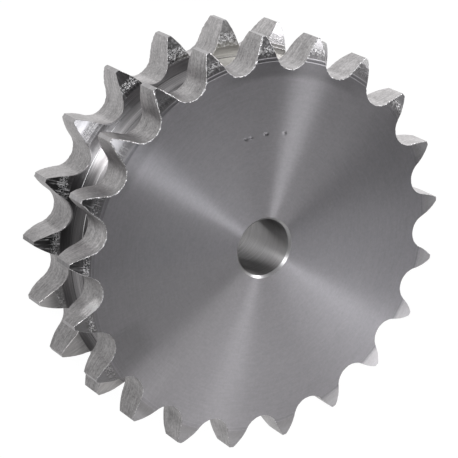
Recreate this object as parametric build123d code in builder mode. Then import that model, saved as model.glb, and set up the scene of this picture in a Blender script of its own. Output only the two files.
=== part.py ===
"""Duplex plate-wheel chain sprocket, turned and hobbed from one steel blank.

Units are millimetres. The origin is the centre of the bore, midway between the two tooth rows, and
+Z runs along the bore towards the front face.
"""

from math import acos, atan2, cos, hypot, pi, radians, sin, sqrt
import os

from build123d import *

# Chain: 1 inch pitch, duplex
pitch = 25.4
roller_diameter = 15.88
row_spacing = 31.88  # middle of one tooth row to the middle of the other

# Teeth
teeth = 21
tooth_width = 15.8
tip_diameter = 182.4
seat_radius = 0.505 * roller_diameter  # the arc that the roller sits in
seat_angle = 128.0
flank_radius = 44.5
relief_width = 2.54  # how far each side of a tooth falls away by its tip
relief_radius = 26.0

# Groove between the rows
groove_diameter = 145.84
groove_bevel = 4.0  # the 45 degree slope between its floor and each side

# Bore
bore_diameter = 25.0
bore_chamfer = 1.0

# How far the gap cutter runs out past the tips
cutter_runout = 1.0

pitch_radius = pitch / (2 * sin(pi / teeth))
tip_radius = tip_diameter / 2
groove_radius = groove_diameter / 2
relief_depth = sqrt(relief_radius**2 - (relief_radius - relief_width) ** 2)
relief_start = tip_radius - relief_depth
inner_side = (row_spacing - tooth_width) / 2
outer_side = (row_spacing + tooth_width) / 2
width = 2 * outer_side


def flank_end(radius):
    """Where the upper flank of the tooth gap on +X meets the circle of this radius round the bore."""
    half_angle = radians(seat_angle / 2)
    reach = seat_radius + flank_radius
    centre_x = pitch_radius - reach * cos(half_angle)
    centre_y = reach * sin(half_angle)
    centre_distance = hypot(centre_x, centre_y)
    swing = acos((centre_distance**2 + radius**2 - flank_radius**2) / (2 * centre_distance * radius))
    angle = atan2(centre_y, centre_x) - swing
    return radius * cos(angle), radius * sin(angle)


# One tooth gap, on +X: half the roller seat and the flank that rises from it, out to the run-out
cutter_radius = tip_radius + cutter_runout
with BuildSketch() as gap:
    with BuildLine():
        seat = CenterArc((pitch_radius, 0), seat_radius, 180, -seat_angle / 2)
        flank = TangentArc(seat @ 1, flank_end(cutter_radius), tangent=seat % 1)
        runout = RadiusArc(flank @ 1, (cutter_radius, 0), cutter_radius)
        Line(runout @ 1, seat @ 0)
    make_face()
    mirror(about=Plane.XZ)

with BuildPart() as sprocket:
    # The turned blank: half of its section, from the middle of the groove out to the front face
    with BuildSketch(Plane.XZ):
        with BuildLine():
            groove = Polyline(
                (0, 0),
                (groove_radius, 0),
                (groove_radius, inner_side - groove_bevel),
                (groove_radius + groove_bevel, inner_side),
                (relief_start, inner_side),
            )
            inner_relief = TangentArc(groove @ 1, (tip_radius, inner_side + relief_width), tangent=(1, 0))
            tip = Line(inner_relief @ 1, (tip_radius, outer_side - relief_width))
            outer_relief = TangentArc((relief_start, outer_side), tip @ 1, tangent=(1, 0))
            Polyline(outer_relief @ 0, (0, outer_side), (0, 0))
        make_face()
        mirror(about=Plane.XZ)
    revolve(axis=Axis.Z)

    # The plain bore, chamfered at both mouths
    Hole(bore_diameter / 2)
    chamfer(sprocket.edges(Select.LAST).filter_by(GeomType.CIRCLE), bore_chamfer)

    # The tooth gaps, hobbed straight through both rows
    with BuildSketch(Plane.XY.offset(-outer_side)):
        with PolarLocations(0, teeth):
            add(gap.sketch)
    extrude(amount=width, mode=Mode.SUBTRACT)

sprocket.part.label = "sprocket"

os.makedirs("parts", exist_ok=True)
export_step(sprocket.part, "parts/sprocket.step")
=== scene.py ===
import math

import bpy
import numpy as np
from mathutils import Matrix, Vector


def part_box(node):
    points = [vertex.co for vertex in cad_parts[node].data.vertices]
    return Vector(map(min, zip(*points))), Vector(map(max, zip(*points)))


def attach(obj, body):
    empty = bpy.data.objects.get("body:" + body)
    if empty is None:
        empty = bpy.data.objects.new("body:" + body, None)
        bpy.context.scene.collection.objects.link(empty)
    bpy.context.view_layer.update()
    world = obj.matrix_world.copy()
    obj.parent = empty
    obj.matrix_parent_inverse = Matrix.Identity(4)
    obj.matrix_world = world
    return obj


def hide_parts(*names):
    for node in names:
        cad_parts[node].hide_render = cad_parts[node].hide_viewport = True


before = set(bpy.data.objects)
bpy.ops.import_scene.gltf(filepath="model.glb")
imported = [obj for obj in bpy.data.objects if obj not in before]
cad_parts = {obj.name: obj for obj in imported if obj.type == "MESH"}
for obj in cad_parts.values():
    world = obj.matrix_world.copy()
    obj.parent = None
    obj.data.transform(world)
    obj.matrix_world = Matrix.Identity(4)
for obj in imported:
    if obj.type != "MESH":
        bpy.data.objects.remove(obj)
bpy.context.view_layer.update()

lowCorner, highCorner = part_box("sprocket")
mm = 0.001
tipRadius = -lowCorner.x / mm  # one tooth points along -X, because the count is odd
halfWidth = highCorner.z / mm

sprocketForm = {  # millimetres and degrees
    "teeth": 21,
    "pitch": 25.4,
    "seatRadius": 0.505 * 15.88,  # for a roller 15.88 across
    "seatAngle": 128,
    "flankRadius": 44.5,
    "toothWidth": 15.8,
    "reliefWidth": 2.54,
    "reliefRadius": 26,
    "grooveRadius": 72.92,
    "hollowRadius": 7.6,  # of the round corners of the groove, which nearly meet in its middle
    "wallMargin": 0.6,  # the wall starts at least this far inside the outline
    "closedTurns": 33.5,  # the rows up to here close up where a gap cuts the corner away
    # how far round the groove's corner each row of points lies
    "hollowTurns": (11, 22, 33.5, 34.1, 35.6, 36.2, 45, 55, 65, 73.6, 75, 77.8, 79.4, 90),
    "ridgeTurns": (34.1, 75),  # thin ridges between the tool's passes start here
    "ridgeHeight": 0.16,
    "boreRadius": 12.5,
    "boreChamfer": 1,
    "seatColumns": 10,  # columns of the mesh on half a roller seat
    "flankColumns": 10,
    "faceRadii": (19, 27, 36, 44, 56, 64, 70, 74),
    "sideRows": 10,
    "flankRows": 2,
    "boreRows": 2,
    "sharpAngle": 24,
    "seed": 21,
    "outerEdge": 0.24,  # width of the worn edge round the outer side of each row
    "innerEdge": 0.12,  # and round the inner side
    "wornSide": 238,  # the side of the wheel where the edges are worn widest
    "leastWear": 0.4,
    "edgeRaggedness": 0.75,  # share of the edge's width that comes and goes
}

punchForm = {  # plain punch marks on the front face: the angle and half length of each
    "radius": 50.0,
    "marks": ((203.9, 0.0), (214.4, 0.75), (222.6, 0.0), (225.6, 0.0)),
    "width": 0.55,
    "depth": 0.22,
    "rows": 12,
    "reach": 2.4,
}


def pitchRadiusOf(form):
    return form["pitch"] / 2 / math.sin(math.pi / form["teeth"])


def halfGapColumns(form):
    # x, y and the way out of the metal, from the root of the gap on +X to the middle of a tooth
    centreOfSeat = pitchRadiusOf(form)
    seat, flank = form["seatRadius"], form["flankRadius"]
    halfSeat = math.radians(form["seatAngle"] / 2)
    columns = []
    for step in range(form["seatColumns"]):
        turn = halfSeat * step / form["seatColumns"]
        columns.append((centreOfSeat - seat * math.cos(turn), seat * math.sin(turn), -turn))
    centreX = centreOfSeat - (seat + flank) * math.cos(halfSeat)
    centreY = (seat + flank) * math.sin(halfSeat)
    reach = math.hypot(centreX, centreY)
    swing = math.acos((tipRadius**2 - reach**2 - flank**2) / (2 * reach * flank))
    tipTurn = math.atan2(centreY, centreX) - swing
    for step in range(form["flankColumns"] + 1):
        turn = -halfSeat + (tipTurn + halfSeat) * step / form["flankColumns"]
        columns.append((centreX + flank * math.cos(turn), centreY + flank * math.sin(turn), turn))
    middle = math.pi / form["teeth"]
    columns.append((tipRadius * math.cos(middle), tipRadius * math.sin(middle), middle))
    return columns


def outlineColumns(form):
    # every column round the wheel, as its angle, its radius and the angle of its outward normal
    half = halfGapColumns(form)
    step = 2 * math.pi / form["teeth"]
    rising = [(math.atan2(y, x), math.hypot(x, y), normal) for x, y, normal in half]
    falling = [(step - angle, radius, step - normal) for angle, radius, normal in rising[-2:0:-1]]
    sector = np.array(rising + falling)
    turns = np.array([[step * tooth, 0, step * tooth] for tooth in range(form["teeth"])])
    return (sector[None] + turns[:, None]).reshape(-1, 3).T


def sideDrop(form, radius):
    # how far a tooth's side has fallen away at this radius
    big, width = form["reliefRadius"], form["reliefWidth"]
    start = tipRadius - math.sqrt(big**2 - (big - width) ** 2)
    past = np.clip(radius - start, 0, None)
    return big - np.sqrt(big**2 - past**2)


def hollowRise(form, radius):
    # how far the round corner of the groove stands out of the wall at this radius
    hollow = form["hollowRadius"]
    below = np.clip(form["grooveRadius"] + hollow - radius, 0, hollow)
    return hollow - np.sqrt(hollow**2 - below**2)


def punchDepth(form, radius, angle):
    depth = np.zeros_like(angle)
    for place, halfLength in form["marks"]:
        away = radius - form["radius"]
        turn = np.mod(angle - math.radians(place) + math.pi, 2 * math.pi) - math.pi
        along = np.clip(np.abs(form["radius"] * turn) - halfLength, 0, None)
        distance = np.hypot(away, along) / form["width"]
        depth = np.maximum(depth, form["depth"] * np.clip(1 - distance**2, 0, 1))
    return depth


def halfWheel(form, angle, radius, normal, side, random):
    # the rows of points from the face down to the middle of the groove, and the zone of each band,
    # where side is 1 for the front half and -1 for the back
    cosine, sine = np.cos(angle), np.sin(angle)
    inner = halfWidth - form["toothWidth"]
    rows, zones = [], []

    def addRow(x, y, z, zone):
        rows.append(np.stack([x, y, np.broadcast_to(z, x.shape) * side], -1))
        zones.append(zone)

    def ring(size, z, zone):
        addRow(size * cosine, size * sine, z, zone)

    ragged = form["edgeRaggedness"]
    wear = form["leastWear"] + np.clip(np.cos(angle - math.radians(form["wornSide"])), 0, 1)
    outerEdge = form["outerEdge"] * wear * (1 - ragged + 2 * ragged * random.random(len(angle)))
    innerEdge = form["innerEdge"] * (1 - ragged + 2 * ragged * random.random(len(angle)))
    rimX, rimY = radius * cosine, radius * sine

    ring(form["boreRadius"] + form["boreChamfer"], halfWidth, "face")
    faceRadii = list(form["faceRadii"])
    if side > 0:
        spread = np.linspace(-punchForm["reach"], punchForm["reach"], punchForm["rows"])
        faceRadii = sorted(faceRadii + list(punchForm["radius"] + spread))
    for size in faceRadii:
        dip = punchDepth(punchForm, size, angle) if side > 0 else 0
        ring(size, halfWidth - dip, "face")

    def sideGrid(base, edge, level, shares, zone):
        endX = rimX - edge * np.cos(normal)
        endY = rimY - edge * np.sin(normal)
        for share in shares:
            x = base * cosine * (1 - share) + endX * share
            y = base * sine * (1 - share) + endY * share
            addRow(x, y, level(np.hypot(x, y)), zone)

    def outerLevel(size):
        return halfWidth - sideDrop(form, size)

    def innerLevel(size):
        return inner + sideDrop(form, size) - hollowRise(form, size)

    steps = np.linspace(0, 1, form["sideRows"] + 1)
    sideGrid(form["faceRadii"][-1], outerEdge, outerLevel, steps[1:-1], "side")
    sideGrid(form["faceRadii"][-1], outerEdge, outerLevel, steps[-1:], "edge")
    top = outerLevel(radius) - outerEdge
    bottom = innerLevel(radius) + innerEdge
    flankSteps = np.linspace(0, 1, form["flankRows"] + 1)
    for share in flankSteps[:-1]:
        addRow(rimX, rimY, top + (bottom - top) * share, "flank")
    addRow(rimX, rimY, bottom, "innerEdge")
    hollow = form["hollowRadius"]
    hollowTop = form["grooveRadius"] + hollow
    base = np.minimum(hollowTop, radius - form["wallMargin"])
    sideGrid(base, innerEdge, innerLevel, steps[:0:-1], "innerSide")
    firstTurn = np.arcsin((hollowTop - base) / hollow)
    addRow(base * cosine, base * sine, innerLevel(base), "groove")
    closed = math.radians(form["closedTurns"])
    lift = 0
    for turn in form["hollowTurns"]:
        startsRidge = turn in form["ridgeTurns"]
        onRidge = startsRidge or (lift and zones[-1] == "ridge")
        lift = form["ridgeHeight"] if onRidge else 0
        turned = np.full_like(angle, math.radians(turn))
        if turn <= form["closedTurns"]:
            turned = firstTurn + (closed - firstTurn) * turn / form["closedTurns"]
        size = hollowTop - (hollow - lift) * np.sin(turned)
        zone = "ridge" if startsRidge else "groove"
        ring(size, inner - hollow + (hollow - lift) * np.cos(turned), zone)
    return rows, zones


def buildSprocket(form):
    angle, radius, normal = outlineColumns(form)
    random = np.random.default_rng(form["seed"])
    front, frontZones = halfWheel(form, angle, radius, normal, 1, random)
    back, backZones = halfWheel(form, angle, radius, normal, -1, random)
    cosine, sine = np.cos(angle), np.sin(angle)

    def boreRow(z):
        size = form["boreRadius"]
        return np.stack([size * cosine, size * sine, np.full_like(angle, z)], -1)

    boreEnd = halfWidth - form["boreChamfer"]
    bore = [boreRow(z) for z in np.linspace(-boreEnd, boreEnd, form["boreRows"] + 1)]
    rows = front + back[::-1] + bore
    zones = frontZones[:-1] + ["groove"] + backZones[:-1][::-1]
    zones += ["chamfer"] + ["bore"] * form["boreRows"] + ["chamfer"]
    points = np.array(rows) * mm
    rowCount, columnCount = points.shape[:2]
    index = np.arange(rowCount * columnCount).reshape(rowCount, columnCount)
    nextRow, nextColumn = np.roll(index, -1, 0), np.roll(index, -1, 1)
    quads = np.stack([index, nextRow, np.roll(nextRow, -1, 1), nextColumn], -1).reshape(-1, 4)
    mesh = bpy.data.meshes.new("sprocketSteel")
    mesh.from_pydata(points.reshape(-1, 3).tolist(), [], quads.tolist())
    mesh.update()
    mesh.polygons.foreach_set("use_smooth", [True] * len(mesh.polygons))
    mesh.set_sharp_from_angle(angle=math.radians(form["sharpAngle"]))
    piece = bpy.data.objects.new("sprocketSteel", mesh)
    bpy.context.scene.collection.objects.link(piece)
    zoneOrder = list(dict.fromkeys(zones)) + ["tip"]
    zoneOfFace = np.repeat([zoneOrder.index(zone) for zone in zones], columnCount)
    sector = columnCount // form["teeth"]
    place = np.tile(np.arange(columnCount) % sector, rowCount)
    onTip = (place == sector // 2) | (place == sector // 2 - 1)
    zoneOfFace[onTip & (zoneOfFace == zoneOrder.index("flank"))] = zoneOrder.index("tip")
    return piece, zoneOrder, zoneOfFace


class Wire:
    # a node's socket that can stand in a Python expression
    def __init__(self, graph, socket):
        self.graph, self.socket = graph, socket

    def __add__(self, other):
        return self.graph.combine("ADD", self, other)

    def __radd__(self, other):
        return self.graph.combine("ADD", other, self)

    def __sub__(self, other):
        return self.graph.combine("SUBTRACT", self, other)

    def __rsub__(self, other):
        return self.graph.combine("SUBTRACT", other, self)

    def __mul__(self, other):
        return self.graph.combine("MULTIPLY", self, other)

    def __rmul__(self, other):
        return self.graph.combine("MULTIPLY", other, self)

    def __truediv__(self, other):
        return self.graph.combine("DIVIDE", self, other)

    def __pow__(self, other):
        return self.graph.combine("POWER", self, other)

    def __abs__(self):
        return self.graph.node("ShaderNodeMath", {"operation": "ABSOLUTE"}, {0: self})


class Graph:
    # the node tree of a material or a world
    def __init__(self, owner, outputKind="ShaderNodeOutputMaterial"):
        self.owner = owner
        owner.use_nodes = True
        self.tree = owner.node_tree
        self.tree.nodes.clear()
        self.output = self.tree.nodes.new(outputKind)

    def node(self, kind, settings=None, values=None, output=0):
        made = self.tree.nodes.new(kind)
        for name, setting in (settings or {}).items():
            setattr(made, name, setting)
        for key, value in (values or {}).items():
            socket = made.inputs[key]
            if isinstance(value, Wire):
                self.tree.links.new(value.socket, socket)
            else:
                socket.default_value = value
        return Wire(self, made.outputs[output])

    def combine(self, operation, first, second):
        pair = (first, second)
        wires = [part for part in pair if isinstance(part, Wire)]
        if not any(wire.socket.type in ("VECTOR", "RGBA") for wire in wires):
            return self.node("ShaderNodeMath", {"operation": operation}, {0: first, 1: second})
        pair = [part if isinstance(part, Wire) or np.ndim(part) else (part,) * 3 for part in pair]
        return self.node("ShaderNodeVectorMath", {"operation": operation}, dict(enumerate(pair)))

    def measure(self, operation, first, second):
        # the number that two vectors give, such as their distance
        return self.node("ShaderNodeVectorMath", {"operation": operation}, {0: first, 1: second}, 1)

    def larger(self, first, second):
        return self.node("ShaderNodeMath", {"operation": "MAXIMUM"}, {0: first, 1: second})

    def tinted(self, colour, level):
        return self.node("ShaderNodeVectorMath", {"operation": "SCALE"}, {0: colour, 3: level})

    def mixedColour(self, share, first, second):
        parts = [part if isinstance(part, Wire) else (*part, 1) for part in (first, second)]
        values = {0: share, 6: parts[0], 7: parts[1]}
        return self.node("ShaderNodeMix", {"data_type": "RGBA"}, values, 2)

    def mixed(self, share, first, second):
        return self.node("ShaderNodeMixShader", None, {0: share, 1: first, 2: second})

    def noise(self, vector, scale, detail=2.0, roughness=0.5):
        values = {"Vector": vector, "Scale": scale, "Detail": detail, "Roughness": roughness}
        return self.node("ShaderNodeTexNoise", {"noise_dimensions": "3D"}, values)

    def fade(self, value, empty, full, kind="SMOOTHSTEP"):
        # 0 at one value and 1 at the other
        values = {"Value": value, "From Min": empty, "From Max": full}
        return self.node("ShaderNodeMapRange", {"interpolation_type": kind}, values)

    def bump(self, height, normal=None):
        # height in millimetres
        values = {"Strength": 1.0, "Distance": mm, "Height": height}
        if normal:
            values["Normal"] = normal
        return self.node("ShaderNodeBump", None, values)

    def metal(self, colour, roughness, normal=None, anisotropic=0.0):
        values = {
            "Base Color": colour,
            "Metallic": 1.0,
            "Roughness": roughness,
            "Anisotropic": anisotropic,
            "Anisotropic Rotation": 0.25,  # the tool marks run round the axis
        }
        if normal:
            values["Normal"] = normal
        return self.node("ShaderNodeBsdfPrincipled", None, values)

    def finish(self, shader):
        self.tree.links.new(shader.socket, self.output.inputs["Surface"])
        return self.owner


class TurnedPlaces:
    # places on the wheel that the finishes share, in millimetres
    def __init__(self, graph):
        self.graph = graph
        self.place = graph.node("ShaderNodeTexCoord", output=3) * (1 / mm)
        split = graph.node("ShaderNodeSeparateXYZ", None, {0: self.place})
        x, y, z = (Wire(graph, socket) for socket in split.socket.node.outputs)
        self.z = z
        self.radius = (x * x + y * y) ** 0.5
        values = {0: x / self.radius, 1: y / self.radius, 2: 0.0}
        self.outward = graph.node("ShaderNodeCombineXYZ", None, values)

    def sideShare(self, azimuth, empty, full, kind="SMOOTHSTEP"):
        # how much a place is on the side of the wheel that faces this way
        facing = self.graph.measure("DOT_PRODUCT", self.outward, outwardDirection(azimuth, 90))
        return self.graph.fade(facing, empty, full, kind)

    def radiusShare(self, empty, full):
        return self.graph.fade(self.radius, empty, full)

    def noise(self, scale, detail=2.0, roughness=0.5):
        return self.graph.noise(self.place, scale, detail, roughness)

    def layNoise(self, around, across, detail, roughness):
        # noise drawn out round the axis: cells per radian, and cells per millimetre across
        rise = (self.radius + abs(self.z)) * across
        shift = self.graph.node("ShaderNodeCombineXYZ", None, {2: rise})
        return self.graph.noise(self.outward * around + shift, 1.0, detail, roughness)


# Radii, heights and depths are in millimetres. A pair of numbers is where a share is 0 and where
# it is 1. A side of the wheel is its azimuth in degrees, then such a pair for the cosine of the
# turn away from it. A lay is cells per radian and per millimetre, then a noise's detail and
# roughness, and any other noise is its scale, detail and roughness.
turnedLook = {
    "colour": (0.266, 0.260, 0.275),
    "roughness": 0.308,
    "anisotropic": 1.0,
    "fineLay": (9.0, 1.15, 4.0, 0.65),
    "layDepth": 0.012,
    "layShade": 0.22,
    "broadNoise": (0.05, 3.0, 0.55),
    "blotch": 0.05,
    "grainNoise": (0.9, 3.0, 0.7),
    "grain": 0.3,
    "leanInside": 0.0245,  # how far the tool left the surface leaning outwards, at the axis
    "leanGain": 0.00095,  # and more for each millimetre of radius
    "leanEnd": (83.0, 80.0),
    "wallLean": 0.0,  # more again beside the groove
    "wallLeanEnd": (93.0, 82.0),
    "outerFrom": (50.0, 74.0),  # the outer part of the face is a little darker
    "outerShade": 0.05,
    "faceEnd": (82.0, 80.5),
    "rim": (72.8, 76.2),  # and painted shade makes its rim much darker on two sides, where it misses the two brightest lights
    "rimSides": (((203, 0.85, 1.0), 0.32), ((266, 0.97, 1.0), 0.2)),
    "beamFrom": (58.0, 68.0),  # beside this beam of light it is darker, and in it brighter
    "beamSides": (((331, 0.985, 0.998), -0.17), ((344, 0.985, 0.998), 0.11)),
    "darkFootShade": 0.38,
    "darkAtFoot": 0.45,  # how much of the painted shade on the dark side reaches the foot of a tooth
    "tipHighlightGain": 0.45,
    "tipHighlightPaler": 0.0,
    "litSides": (),  # painted highlights: where the relief is made brighter, and how much
    # where the painted highlight on one tooth starts
    "paintedHighlight": (87.6, 88.6),
    "tornFrom": (82.5, 83.7),
    "ring": 86.0,  # where the tool chattered most
    "fleckSide": (200, 0.65, 0.97),  # the side with the most flecks
    "footFlecks": 0.8,
    "footMatte": 0.0,
    "tipMatte": 0.0,
    "otherMatte": 0.12,
}

wallLook = {  # what differs on the inner sides of the rows, where the tool tore deeper
    **turnedLook,
    "colour": (0.33, 0.32, 0.327),
    "roughness": 0.33,
    "wallLean": 0.18,
    "rimSides": (),
    "beamSides": (),
    "darkFootShade": 0.0,
    "darkAtFoot": 1.0,
    "tipHighlightGain": 0.0,
    "tipHighlightPaler": 0.5,
    "litSides": (((266, 0.985, 0.998), 0.6), ((197, 0.985, 0.998), 0.4)),
    "paintedHighlight": (80.0, 81.0),
    "tornFrom": (79.0, 80.2),
    "ring": 84.6,
    "fleckSide": (222, 0.25, 0.9),
    "footFlecks": 0.35,
    "footMatte": 0.6,
    "tipMatte": 0.3,
    "otherMatte": 0.95,
}

reliefLook = {  # the relieved sides of the teeth
    "start": 82.5,
    "startScale": 0.9,
    "startSpread": 0.3,
    "sharpSide": (245, -0.3, 0.3),  # the side of the wheel where the relief starts sharply
    "softness": 0.3,  # half the width of the blend into it there
    "otherSoftness": 1.2,  # and on the other side
    "roughness": 0.32,
    "colour": (0.24, 0.234, 0.241),
    "tipColour": (0.295, 0.289, 0.299),
    "tip": (84.0, 89.0),
    "brightSide": (82, 0.0, 1.0, "LINEAR"),  # painted light: the side of the wheel where the relief is made brightest
    "brightNarrowing": 8,
    "brightGain": 1.2,
    # painted light: the relief is made paler on this side
    "paleSide": (150, 0.35, 0.95),
    "paleGain": 0.25,
    "tipHighlightSide": (343, 0.93, 0.985),  # a painted highlight makes the tips brighter here
    "tipHighlightFrom": (84.5, 89.0),
    "litEnd": (89.5, 87.0),
    "highlightSide": (181, 0.98, 0.995),  # a painted highlight makes one tooth bright
    "highlightGain": 2.4,
    # painted shade on this side, darkest at the tips; the groove has it too
    "darkSide": (290, 0.95, 0.99),
    "darkShare": 0.6,
    "darkTip": (86.2, 88.2),
    "foot": (80.4, 80.8),
    "footSide": (235, 0.45, 0.85),  # the side where the feet of the teeth are darkest
    "leastFoot": 0.15,
    "footShade": 0.38,
    "darkFoot": (85.6, 84.2),
    "darkFootSide": (230, 0.72, 0.95),
    "lines": (80.8, 82.3),  # rings that the tool left at the foot of the teeth
    "lineWidth": 0.35,
    "lineDepth": 0.03,
    "lineSide": (212, 0.76, 0.94),  # the side where they show most
    "leastLine": 0.1,
    "lineShade": 1.5,
}

tornLook = {  # where the relief tool tore the steel
    "side": (245, -0.35, 0.2),
    "end": (86.95, 86.45),
    "past": 0.35,  # how much of it shows beyond there
    "wander": 2.0,
    "wanderScale": 0.45,
    "hairs": 110.0,
    "hairScale": 0.12,
    "hairNoise": (1.0, 3.0, 0.6),
    "hairDepth": 0.10,
    "chatterLay": (108.0, 2.2, 3.0, 0.7),
    "chatterDepth": 0.32,
    "leastChatter": 0.2,
    "ringWidth": (2.2, 0.9),
    "pits": (1.06, 0.94),
    "pitShade": 0.25,
    "smoothShare": 0.25,  # how much of its depth the steel between the flecks has
    "flecks": (0.50, 0.58),
    "fleckGain": 0.9,
    "leastFlecks": 0.07,
    "otherFleckSide": (165, 0.97, 0.99),
    "otherFlecks": 0.4,
    "highlightFleckLoss": 0.75,
    "patchScale": 0.4,
    "patches": (0.38, 0.58),
    "leastPatch": 0.5,
    "fleckLean": 0.3,  # the torn flecks lean outwards
    "fleckTwist": 0.22,  # and were dragged to one side
    "draggedTo": 262,
    "fleckColour": (0.92, 0.91, 0.92),
    "roughness": 0.48,
    "footSide": (311, 0.85, 0.97),  # the side where they lie nearer the foot
    "footShift": 1.9,
    "scratches": (0.57, 0.64),
    "scratchSide": (290, 0.90, 0.99),
    "scratchShare": 0.15,
    "mottle": (0.50, 0.60),
    "mottleSide": (224, 0.92, 0.97),
    "mottleShare": 0.5,
}

matteLook = {  # where the groove and its walls were left rougher
    "colour": (0.5, 0.485, 0.45),
    "neutral": (0.5, 0.487, 0.485),
    "roughness": 0.5,
    "shade": 0.9,
    "depth": 0.08,
    "foot": (84.0, 81.5),
    "grooveSide": (206, 0.93, 0.985),
    "grooveShare": 0.7,
    "footSide": (206, 0.93, 0.99),
    "tipSide": (217, 0.955, 0.985),
    "otherSide": (331, 0.84, 0.96),
    "otherLevel": 0.7,
    # painted highlight: the matte steel is paler at the tips on this side
    "paleSide": (318, 0.96, 0.99),
    "paleTip": (82.0, 90.0),
    "paleGain": 1.1,
}


def matteSteel(graph, colour, grain, level=1.0):
    bumped = graph.bump((grain - 0.5) * matteLook["depth"])
    tinted = graph.tinted(colour, (grain - 0.5) * matteLook["shade"] + level)
    return graph.metal(tinted, matteLook["roughness"], bumped)


def withLeast(share, least):
    return share * (1 - least) + least


class TurnedSteel(TurnedPlaces):
    # the steel of a turned side and of the relieved sides of the teeth outside it
    def __init__(self, graph, turned):
        super().__init__(graph)
        self.turned = turned
        self.fine = self.layNoise(*turned["fineLay"])
        self.grain = self.noise(*turned["grainNoise"])
        self.chatter = self.layNoise(*tornLook["chatterLay"])
        drawn = self.outward * tornLook["hairs"] + self.place * tornLook["hairScale"]
        self.hair = graph.noise(drawn, *tornLook["hairNoise"])
        uneven = self.noise(tornLook["wanderScale"]) - 0.5
        self.wander = uneven * tornLook["wander"] + self.radius
        self.onHighlight = self.sideShare(*reliefLook["highlightSide"])
        self.onTipHighlight = self.sideShare(*reliefLook["tipHighlightSide"])
        self.relieved = self.reliefShare()
        self.lines = self.footLines()
        self.level = self.steelLevel()

    def reliefShare(self):
        # 0 on the flat of the side and 1 on the relief of the teeth
        uneven = self.noise(reliefLook["startScale"]) - 0.5
        relieved = uneven * (2 * reliefLook["startSpread"]) + self.radius
        soft = reliefLook["otherSoftness"] - reliefLook["softness"]
        soft = reliefLook["otherSoftness"] - self.sideShare(*reliefLook["sharpSide"]) * soft
        return self.graph.fade(relieved, reliefLook["start"] - soft, reliefLook["start"] + soft)

    def footLines(self):
        lines = 0.0
        for place in reliefLook["lines"]:
            away = abs(self.radius - place)
            lines = lines + self.graph.fade(away, reliefLook["lineWidth"], 0.0)
        return lines

    def steelLevel(self):
        # how bright the steel is, on the flat and on the relief alike
        turned, radiusShare, sideShare = self.turned, self.radiusShare, self.sideShare
        broad = self.noise(*turned["broadNoise"])
        level = (broad - 0.5) * (2 * turned["blotch"]) + (self.fine - 0.5) * turned["layShade"]
        level = level + 1.0 - radiusShare(*turned["outerFrom"]) * turned["outerShade"]
        level = level + (self.grain - 0.5) * turned["grain"]
        onFace = radiusShare(*turned["faceEnd"])
        # painted shade on the rim, on the sides where it misses the two brightest lights
        rimShade = 0.0
        for side, shade in turned["rimSides"]:
            rimShade = rimShade + sideShare(*side) * shade
        level = level * (1 - radiusShare(*turned["rim"]) * onFace * rimShade)
        inBeam = radiusShare(*turned["beamFrom"]) * onFace
        for side, gain in turned["beamSides"]:
            level = level * (inBeam * sideShare(*side) * gain + 1.0)
        foot = radiusShare(*reliefLook["foot"]) * (1 - self.relieved)
        footShare = withLeast(sideShare(*reliefLook["footSide"]), reliefLook["leastFoot"])
        level = level - foot * footShare * reliefLook["footShade"]
        lineShare = withLeast(sideShare(*reliefLook["lineSide"]), reliefLook["leastLine"])
        level = level + self.lines * lineShare * reliefLook["lineShade"]
        darkFoot = self.relieved * radiusShare(*reliefLook["darkFoot"])
        return level - darkFoot * sideShare(*reliefLook["darkFootSide"]) * turned["darkFootShade"]

    def reliefColour(self):
        # painted light and highlights make the relief brighter on some sides of the wheel, and
        # painted shade darker on one
        turned, radiusShare, sideShare = self.turned, self.radiusShare, self.sideShare
        bright = sideShare(*reliefLook["brightSide"]) ** reliefLook["brightNarrowing"]
        gain = bright * reliefLook["brightGain"] + 1.0
        gain = gain + sideShare(*reliefLook["paleSide"]) * reliefLook["paleGain"]
        paintedHighlight = self.onHighlight * self.graph.fade(self.wander, *turned["paintedHighlight"])
        gain = gain + paintedHighlight * reliefLook["highlightGain"]
        gain = gain + self.onTipHighlight * radiusShare(*reliefLook["tipHighlightFrom"]) * turned["tipHighlightGain"]
        for side, more in turned["litSides"]:
            gain = gain + sideShare(*side) * radiusShare(*reliefLook["litEnd"]) * more
        dark = withLeast(radiusShare(*reliefLook["darkTip"]), turned["darkAtFoot"])
        gain = gain - dark * sideShare(*reliefLook["darkSide"]) * reliefLook["darkShare"]
        toTip = radiusShare(*reliefLook["tip"])
        relief = self.graph.mixedColour(toTip, reliefLook["colour"], reliefLook["tipColour"])
        return self.graph.tinted(relief, gain)

    def leaningNormal(self):
        # the tool left the surface leaning outwards
        lean = self.radius * self.turned["leanGain"] + self.turned["leanInside"]
        lean = lean * self.radiusShare(*self.turned["leanEnd"])
        lean = lean + self.radiusShare(*self.turned["wallLeanEnd"]) * self.turned["wallLean"]
        normal = self.graph.node("ShaderNodeNewGeometry", output=1) + self.outward * lean
        return self.graph.node("ShaderNodeVectorMath", {"operation": "NORMALIZE"}, {0: normal})

    def fleckShare(self, ring, footSide):
        # bright flecks in the ring where the tool chattered, scratches, and a mottled side
        graph, sideShare = self.graph, self.sideShare
        share = sideShare(*self.turned["fleckSide"]) * tornLook["fleckGain"]
        share = share + footSide * self.turned["footFlecks"]
        share = share + sideShare(*tornLook["otherFleckSide"]) * tornLook["otherFlecks"]
        share = (share + tornLook["leastFlecks"]) * (1 - self.onHighlight * tornLook["highlightFleckLoss"])
        patches = graph.fade(self.noise(tornLook["patchScale"]), *tornLook["patches"])
        share = share * withLeast(patches, tornLook["leastPatch"])
        flecks = graph.fade(self.chatter, *tornLook["flecks"]) * ring * share
        scratchShare = (sideShare(*tornLook["scratchSide"]) + 1.0) * tornLook["scratchShare"]
        scratches = graph.fade(self.hair, *tornLook["scratches"]) * scratchShare
        mottle = sideShare(*tornLook["mottleSide"]) * tornLook["mottleShare"]
        mottle = graph.fade(self.grain, *tornLook["mottle"]) * mottle
        return graph.larger(graph.larger(flecks, scratches), mottle)

    def matteOver(self, shader):
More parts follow.
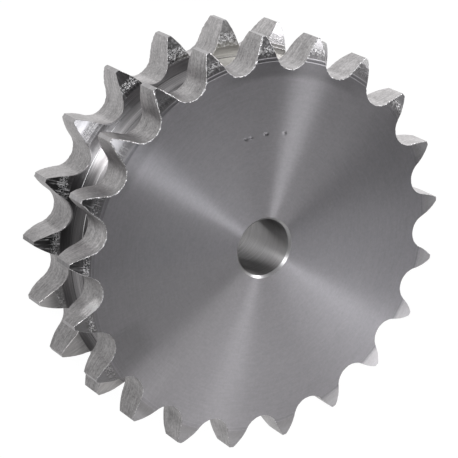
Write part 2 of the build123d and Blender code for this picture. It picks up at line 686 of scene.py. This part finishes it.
        # the sides of the wheel that were left rougher
        graph, turned, sideShare = self.graph, self.turned, self.sideShare
        neutral = matteLook["neutral"]
        if turned["tipMatte"]:
            atFoot = self.radiusShare(*matteLook["foot"])
            matte = sideShare(*matteLook["footSide"]) * atFoot * turned["footMatte"]
            matte = matte + sideShare(*matteLook["tipSide"]) * turned["tipMatte"]
            blend = graph.mixedColour(atFoot, neutral, matteLook["colour"])
            shader = graph.mixed(matte, shader, matteSteel(graph, blend, self.chatter))
        # painted highlights: paler matte steel at the tips on one side and where the tips have
        # their highlight
        paler = self.radiusShare(*matteLook["paleTip"]) * sideShare(*matteLook["paleSide"])
        paler = paler * matteLook["paleGain"] + self.onTipHighlight * turned["tipHighlightPaler"]
        paler = paler + matteLook["otherLevel"]
        matte = sideShare(*matteLook["otherSide"]) * turned["otherMatte"]
        return graph.mixed(matte, shader, matteSteel(graph, neutral, self.hair, paler))


def turnedSide(name, turned):
    # a turned side, the relieved sides of the teeth outside it, and where the relief tool tore them
    graph = Graph(bpy.data.materials.new(name))
    steel = TurnedSteel(graph, turned)

    # the ring where the tool chattered, and how torn the steel is there and beyond it
    footSide = steel.sideShare(*tornLook["footSide"])
    fromRing = abs(steel.wander - turned["ring"] + footSide * tornLook["footShift"])
    ring = graph.fade(fromRing, *tornLook["ringWidth"])
    inRing = graph.fade(steel.wander, *tornLook["end"])
    torn = graph.fade(steel.wander, *turned["tornFrom"]) * withLeast(inRing, tornLook["past"])
    torn = torn * steel.sideShare(*tornLook["side"])
    chatterDepth = withLeast(ring, tornLook["leastChatter"]) * tornLook["chatterDepth"]
    rough = (steel.chatter - 0.5) * chatterDepth + (steel.hair - 0.5) * tornLook["hairDepth"]

    # the turned steel, pitted where it was torn
    relief = steel.reliefColour()
    colour = graph.mixedColour(steel.relieved, turned["colour"], relief)
    pits = torn * inRing * graph.fade(steel.hair + steel.chatter, *tornLook["pits"])
    colour = graph.tinted(graph.tinted(colour, steel.level), 1.0 - pits * tornLook["pitShade"])
    roughness = steel.relieved * (reliefLook["roughness"] - turned["roughness"])
    roughness = roughness + turned["roughness"]
    normal = steel.leaningNormal()
    ridges = (steel.fine - 0.5) * turned["layDepth"] + steel.lines * reliefLook["lineDepth"]
    roughened = graph.bump(ridges + rough * torn * inRing * tornLook["smoothShare"], normal)
    shader = graph.metal(colour, roughness, roughened, turned["anisotropic"])

    # the bright flecks over all, which lean outwards and were dragged to one side
    dragged = outwardDirection(tornLook["draggedTo"], 90) * tornLook["fleckTwist"]
    leaning = graph.bump(rough, normal + steel.outward * tornLook["fleckLean"] + dragged)
    fleckColour = graph.tinted(tornLook["fleckColour"], steel.level)
    fleckSteel = graph.metal(fleckColour, tornLook["roughness"], leaning)
    flecks = torn * steel.fleckShare(ring, footSide)
    return graph.finish(graph.mixed(flecks, steel.matteOver(shader), fleckSteel))


flankLook = {
    "colour": (0.46, 0.447, 0.45),
    "roughness": 0.36,
    "roughnessSpread": 0.10,
    "stretch": (0.09, 0.09, 1.2),
    "streakNoise": (1.0, 4.0, 0.7),
    "streakDepth": 0.04,
    "streak": 1.25,
    "cloudNoise": (0.12, 2.0, 0.5),
    "cloud": 0.7,
    "grainNoise": (1.0, 3.0, 0.7),
    "grainDepth": 0.05,
    "grain": 1.3,
    "rear": (5.0, -5.0),
    "litNormal": 206,  # painted light: flanks that face this way are made brighter
    "paleGain": 0.27,
    "rearPaleGain": 0.17,  # and more so on the rear row
    "shadedNormal": 285,  # and painted shade on those that face this way
    "paintedShadeLevel": 0.13,
    "rearPaintedShadeLevel": -0.06,
    "facing": (0.8, 0.95),
    "patches": (  # painted highlights: the middle, how far it reaches, how far it is full, how much
        ((56.5, -59.3, 20.6), 6.5, 1.5, 1.5),
        ((31.9, -73.4, 18.5), 12.0, 4.0, 0.45),
    ),
}


def hobbedFlank():
    graph = Graph(bpy.data.materials.new("hobbedFlank"))
    places = TurnedPlaces(graph)
    streak = graph.noise(places.place * flankLook["stretch"], *flankLook["streakNoise"])
    cloud = places.noise(*flankLook["cloudNoise"])
    grain = places.noise(*flankLook["grainNoise"])
    normal = graph.node("ShaderNodeNewGeometry", output=1)
    rear = graph.fade(places.z, *flankLook["rear"])

    def facingShare(azimuth):
        facing = graph.measure("DOT_PRODUCT", normal, outwardDirection(azimuth, 90))
        return graph.fade(facing, *flankLook["facing"])

    level = (streak - 0.5) * flankLook["streak"] + (cloud - 0.5) * flankLook["cloud"] + 1.0
    level = level + (grain - 0.5) * flankLook["grain"]
    # painted light on flanks that face one way, and painted shade on those that face another
    paleGain = rear * flankLook["rearPaleGain"] + flankLook["paleGain"]
    level = level + facingShare(flankLook["litNormal"]) * paleGain
    paintedShadeLevel = rear * flankLook["rearPaintedShadeLevel"] + flankLook["paintedShadeLevel"]
    level = level - facingShare(flankLook["shadedNormal"]) * paintedShadeLevel
    # painted highlights in patches
    for middle, reach, full, gain in flankLook["patches"]:
        away = graph.measure("DISTANCE", places.place, middle)
        level = level * (graph.fade(away, reach, full) * gain + 1.0)
    height = (streak - 0.5) * flankLook["streakDepth"] + (grain - 0.5) * flankLook["grainDepth"]
    roughness = (streak - 0.5) * flankLook["roughnessSpread"] + flankLook["roughness"]
    colour = graph.tinted(flankLook["colour"], level)
    return graph.finish(graph.metal(colour, roughness, graph.bump(height)))


grooveLook = {
    "colour": (0.33, 0.32, 0.327),
    "level": 0.95,
    "roughness": 0.36,
    "anisotropic": 0.85,
    "lay": (2.5, 1.3, 4.0, 0.7),
    "layDepth": 0.04,
    "layShade": 0.8,
    "scratchLay": (2.0, 3.4, 2.0, 0.6),
    "scratches": (0.58, 0.66),
    "scratchGain": 0.6,
    "highlightHeight": -1.2,  # a painted highlight: a short bright patch beside a ridge
    "highlightWidth": (3.2, 1.2),
    "highlightSide": (276, 0.99, 0.998),
    "highlightGain": 1.3,
    "shadedSide": (257, 0.985, 0.998),  # painted shade: its slope is darker here
    "shadedFrom": (73.5, 75.5),
    "paintedShadeLevel": 0.3,
}


def turnedGroove():
    graph = Graph(bpy.data.materials.new("turnedGroove"))
    places = TurnedPlaces(graph)
    lay = places.layNoise(*grooveLook["lay"])
    scratches = graph.fade(places.layNoise(*grooveLook["scratchLay"]), *grooveLook["scratches"])
    level = (lay - 0.5) * grooveLook["layShade"] + scratches * grooveLook["scratchGain"]
    level = level + grooveLook["level"]
    # painted shade on one side, a painted highlight beside a ridge, and painted shade on a slope
    dark = places.sideShare(*reliefLook["darkSide"]) * reliefLook["darkShare"]
    paintedHighlight = graph.fade(abs(places.z - grooveLook["highlightHeight"]), *grooveLook["highlightWidth"])
    paintedHighlight = paintedHighlight * places.sideShare(*grooveLook["highlightSide"])
    shadedSlope = places.sideShare(*grooveLook["shadedSide"])
    shadedSlope = shadedSlope * places.radiusShare(*grooveLook["shadedFrom"])
    level = level * (1.0 - dark) * (paintedHighlight * grooveLook["highlightGain"] + 1.0)
    level = level * (1.0 - shadedSlope * grooveLook["paintedShadeLevel"])
    bumped = graph.bump((lay - 0.5) * grooveLook["layDepth"])
    colour = graph.tinted(grooveLook["colour"], level)
    smooth = graph.metal(colour, grooveLook["roughness"], bumped, grooveLook["anisotropic"])
    matte = places.sideShare(*matteLook["grooveSide"]) * matteLook["grooveShare"]
    return graph.finish(graph.mixed(matte, smooth, matteSteel(graph, matteLook["colour"], lay)))


ridgeLook = {  # the thin ridges in the groove, brightest where a painted highlight lies on them
    "colour": (0.80, 0.79, 0.80),
    "level": 0.22,
    "roughness": 0.36,
    "deepRadius": (75.0, 74.5),
    "deepSide": (283, 0.95, 0.975),
    "wallSide": (274, 0.965, 0.985),
    "noise": (0.6, 2.0, 0.6),
    "noiseShare": 0.5,
    "highlightLevel": 0.6,
}


def ridgeSteel():
    graph = Graph(bpy.data.materials.new("ridgeSteel"))
    places = TurnedPlaces(graph)
    deep = places.radiusShare(*ridgeLook["deepRadius"])
    # a painted highlight on the ridges on two sides
    paintedHighlight = places.sideShare(*ridgeLook["deepSide"]) * deep
    paintedHighlight = paintedHighlight + places.sideShare(*ridgeLook["wallSide"]) * (1 - deep)
    uneven = places.noise(*ridgeLook["noise"]) * ridgeLook["noiseShare"] + ridgeLook["highlightLevel"]
    colour = graph.tinted(ridgeLook["colour"], paintedHighlight * uneven + ridgeLook["level"])
    return graph.finish(graph.metal(colour, ridgeLook["roughness"]))


chamferLook = {
    "colour": (0.80, 0.79, 0.80),
    "level": 0.55,
    "roughness": 0.36,
    "anisotropic": 0.3,
    "lay": (3.0, 3.0, 3.0, 0.6),
    "layDepth": 0.02,
    "layShade": 0.3,
}


def smoothChamfer():
    graph = Graph(bpy.data.materials.new("smoothChamfer"))
    lay = TurnedPlaces(graph).layNoise(*chamferLook["lay"]) - 0.5
    level = lay * chamferLook["layShade"] + chamferLook["level"]
    colour = graph.tinted(chamferLook["colour"], level)
    bumped = graph.bump(lay * chamferLook["layDepth"])
    roughness, anisotropic = chamferLook["roughness"], chamferLook["anisotropic"]
    return graph.finish(graph.metal(colour, roughness, bumped, anisotropic))


edgeLook = {
    "colour": (0.80, 0.79, 0.80),
    "level": 0.35,
    "roughness": 0.30,
    "noise": (1.7, 2.0, 0.6),
    "sparkle": (0.40, 0.62),
    "sparkleGain": 0.8,
    "sparkleDepth": 0.4,
}


def wornEdge():
    graph = Graph(bpy.data.materials.new("wornEdge"))
    uneven = TurnedPlaces(graph).noise(*edgeLook["noise"])
    sparkle = graph.fade(uneven, *edgeLook["sparkle"])
    colour = graph.tinted(edgeLook["colour"], sparkle * edgeLook["sparkleGain"] + edgeLook["level"])
    bumped = graph.bump((uneven - 0.5) * edgeLook["sparkleDepth"])
    return graph.finish(graph.metal(colour, edgeLook["roughness"], bumped))


boreLook = {
    "colour": (0.53, 0.52, 0.525),
    "level": 0.42,
    "roughness": 0.34,
    "anisotropic": 0.9,
    "lay": (1.2, 3.0, 3.0, 0.6),
    "layDepth": 0.012,
    "layShade": 0.9,
    # painted light: the bore is brighter on this side
    "paleSide": (107, 0.6, 1.0),
    "paleGain": 0.72,
    "middleGain": 1.02,
    "mouthGain": 0.035,  # painted shade deeper in the bore: brighter towards the front, for each millimetre
    "mouth": (-8.0, 22.0),  # and more matte, whose paler steel also paints light near the mouth
    "mouthMatte": 0.3,
}


def boredHole():
    graph = Graph(bpy.data.materials.new("boredHole"))
    places = TurnedPlaces(graph)
    lay = places.layNoise(*boreLook["lay"])
    # painted light on one side, and painted shade deeper in the bore
    level = places.sideShare(*boreLook["paleSide"]) * boreLook["paleGain"] + boreLook["level"]
    level = level * (places.z * boreLook["mouthGain"] + boreLook["middleGain"])
    level = level + (lay - 0.5) * boreLook["layShade"]
    bumped = graph.bump((lay - 0.5) * boreLook["layDepth"])
    colour = graph.tinted(boreLook["colour"], level)
    smooth = graph.metal(colour, boreLook["roughness"], bumped, boreLook["anisotropic"])
    matte = graph.fade(places.z, *boreLook["mouth"]) * boreLook["mouthMatte"]
    return graph.finish(graph.mixed(matte, smooth, matteSteel(graph, matteLook["neutral"], lay)))


tipLook = {
    "colour": (0.515, 0.503, 0.51),
    "roughness": 0.34,
    "lay": (20.0, 1.6, 3.0, 0.6),
    "layDepth": 0.03,
    "layShade": 0.8,
    # painted shade on the tops of the teeth on this side
    "darkSide": (302, 0.97, 0.99),
    "darkShare": 0.4,
}


def turnedTip():
    # the tops of the teeth keep the blank's turned outside
    graph = Graph(bpy.data.materials.new("turnedTip"))
    places = TurnedPlaces(graph)
    lay = places.layNoise(*tipLook["lay"]) - 0.5
    # painted shade on one side
    dark = places.sideShare(*tipLook["darkSide"]) * tipLook["darkShare"]
    colour = graph.tinted(tipLook["colour"], lay * tipLook["layShade"] + 1.0 - dark)
    bumped = graph.bump(lay * tipLook["layDepth"])
    return graph.finish(graph.metal(colour, tipLook["roughness"], bumped))


def dressSprocket(piece, zoneOrder, zoneOfFace):
    side, wall = turnedSide("turnedSide", turnedLook), turnedSide("grooveWall", wallLook)
    finishes = {
        "face": side,
        "side": side,
        "edge": wornEdge(),
        "flank": hobbedFlank(),
        "tip": turnedTip(),
        "innerEdge": wall,
        "innerSide": wall,
        "groove": turnedGroove(),
        "ridge": ridgeSteel(),
        "chamfer": smoothChamfer(),
        "bore": boredHole(),
    }
    order = list(dict.fromkeys(finishes.values()))
    for material in order:
        piece.data.materials.append(material)
    slots = np.array([order.index(finishes[zone]) for zone in zoneOrder])
    piece.data.polygons.foreach_set("material_index", slots[zoneOfFace].astype(np.int32))
    piece.data.use_auto_texspace = False  # keeps the lay of the finish centred on the bore
    piece.data.texspace_location = (0, 0, 0)
    piece.data.texspace_size = (0.1, 0.1, 0.1)


def outwardDirection(azimuth, tilt):
    flat = math.sin(math.radians(tilt))
    turn = math.radians(azimuth)
    return Vector((flat * math.cos(turn), flat * math.sin(turn), math.cos(math.radians(tilt))))


# azimuth and tilt from +Z in degrees, width and height in metres, roll in degrees, radiance, colour
lamps = {
    "broadSoftbox": (69.5, 48.3, 1.76, 1.46, 6.5, 1.70, (1.0, 0.99, 0.98)),
    "mirrorSoftbox": (91.7, 44.3, 0.25, 0.57, -56.5, 6.86, (0.98, 0.98, 1.0)),
    "edgeStrip": (161.1, 69.8, 0.66, 1.74, 23.3, 10.1, (1.0, 1.0, 1.0)),
    "overheadStrip": (262.5, 39.8, 0.49, 2.27, 12.2, 7.79, (0.96, 0.98, 1.0)),
    "sideStrip": (268.0, 72.0, 0.35, 1.8, 0.0, 10.0, (1.0, 0.99, 0.98)),
}
lampDistance = 3.0


def addLamp(name, azimuth, tilt, width, height, roll, radiance, colour):
    light = bpy.data.lights.new(name, "AREA")
    light.shape = "RECTANGLE"
    light.size, light.size_y = width, height
    light.energy = radiance * math.pi * width * height
    light.color = colour
    lamp = bpy.data.objects.new(name, light)
    lamp.visible_camera = False
    away = outwardDirection(azimuth, tilt)
    up = (Vector((0, 0, 1)) - away * away.z).normalized()
    across = up.cross(away)
    turned = Matrix.Rotation(math.radians(roll), 3, away)
    axes = Matrix((turned @ across, turned @ up, away)).transposed()
    lamp.matrix_world = Matrix.Translation(away * lampDistance) @ axes.to_4x4()
    bpy.context.scene.collection.objects.link(lamp)


viewPoint = {  # degrees and millimetres
    "azimuth": -89.227,
    "elevation": 54.0856,
    "roll": 118.816,
    "distance": 922.157,
    "aim": (0.266, -3.689, 0.0),
    "lens": 168.434,
    "frameWidth": 36,
    "farthest": 20,  # metres
}


def addCamera():
    camera = bpy.data.objects.new("viewCamera", bpy.data.cameras.new("viewCamera"))
    camera.data.lens = viewPoint["lens"]
    camera.data.sensor_width = viewPoint["frameWidth"]
    away = outwardDirection(viewPoint["azimuth"], 90 - viewPoint["elevation"])
    aim = Vector(viewPoint["aim"])
    upright = (-away).to_track_quat("-Z", "Y").to_matrix()
    turned = upright @ Matrix.Rotation(math.radians(viewPoint["roll"]), 3, "Z")
    place = (aim + away * viewPoint["distance"]) * mm
    camera.matrix_world = Matrix.Translation(place) @ turned.to_4x4()
    camera.data.clip_end = viewPoint["farthest"]
    bpy.context.scene.collection.objects.link(camera)
    bpy.context.scene.camera = camera


floorLook = {
    "size": 8.0,  # metres
    "colour": (0.86, 0.86, 0.86, 1),
    "seenLevel": 1.05,
    "seenShare": 0.93,
    "glossShare": 0.95,
    "paleSide": (150, -1.0, 1.0, "LINEAR"),  # the steel mirrors a paler floor on this side
    "otherShade": 0.5,
}


def addFloor():
    half = floorLook["size"] / 2
    corners = [(-half, -half, 0), (half, -half, 0), (half, half, 0), (-half, half, 0)]
    mesh = bpy.data.meshes.new("studioFloor")
    mesh.from_pydata(corners, [], [(0, 1, 2, 3)])
    floor = bpy.data.objects.new("studioFloor", mesh)
    floor.location.z = lowCorner.z
    bpy.context.scene.collection.objects.link(floor)
    graph = Graph(bpy.data.materials.new("studioFloor"))
    path = graph.node("ShaderNodeLightPath").socket.node.outputs
    camera, glossy = Wire(graph, path["Is Camera Ray"]), Wire(graph, path["Is Glossy Ray"])
    seen = graph.larger(camera * floorLook["seenShare"], glossy * floorLook["glossShare"])
    otherSide = 1 - TurnedPlaces(graph).sideShare(*floorLook["paleSide"])
    level = floorLook["seenLevel"] - glossy * otherSide * floorLook["otherShade"]
    card = graph.node("ShaderNodeBsdfDiffuse", None, {"Color": floorLook["colour"]})
    glow = graph.node("ShaderNodeEmission", None, {"Color": graph.tinted((1, 1, 1), level)})
    mesh.materials.append(graph.finish(graph.mixed(seen, card, glow)))


worldLook = {  # a room that is darker above
    "horizon": 1.0,
    "overhead": 0.056,
    "overheadFrom": 0.782,  # height of the direction from which it is darkest
}


def addWorld():
    world = bpy.data.worlds.new("studioWorld")
    bpy.context.scene.world = world
    graph = Graph(world, "ShaderNodeOutputWorld")
    towards = graph.node("ShaderNodeSeparateXYZ", None, {0: graph.node("ShaderNodeTexCoord")}, 2)
    share = graph.fade(towards, 0.0, worldLook["overheadFrom"], "LINEAR")
    level = share * (worldLook["overhead"] - worldLook["horizon"]) + worldLook["horizon"]
    room = graph.node("ShaderNodeBackground", None, {"Color": graph.tinted((1, 1, 1), level)})
    white = graph.node("ShaderNodeBackground", None, {"Color": (1, 1, 1, 1)})
    graph.finish(graph.mixed(graph.node("ShaderNodeLightPath"), room, white))


addCamera()
print("camera placed")
sprocket, zoneOrder, zoneOfFace = buildSprocket(sprocketForm)
print("sprocket made:", len(sprocket.data.polygons), "faces")
dressSprocket(sprocket, zoneOrder, zoneOfFace)
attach(sprocket, "root")
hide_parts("sprocket")
print("sprocket dressed:", len(sprocket.data.materials), "finishes")
addFloor()
addWorld()
for lampName, lampSize in lamps.items():
    addLamp(lampName, *lampSize)
bpy.context.scene.view_settings.view_transform = "Standard"
print("floor and lamps placed")
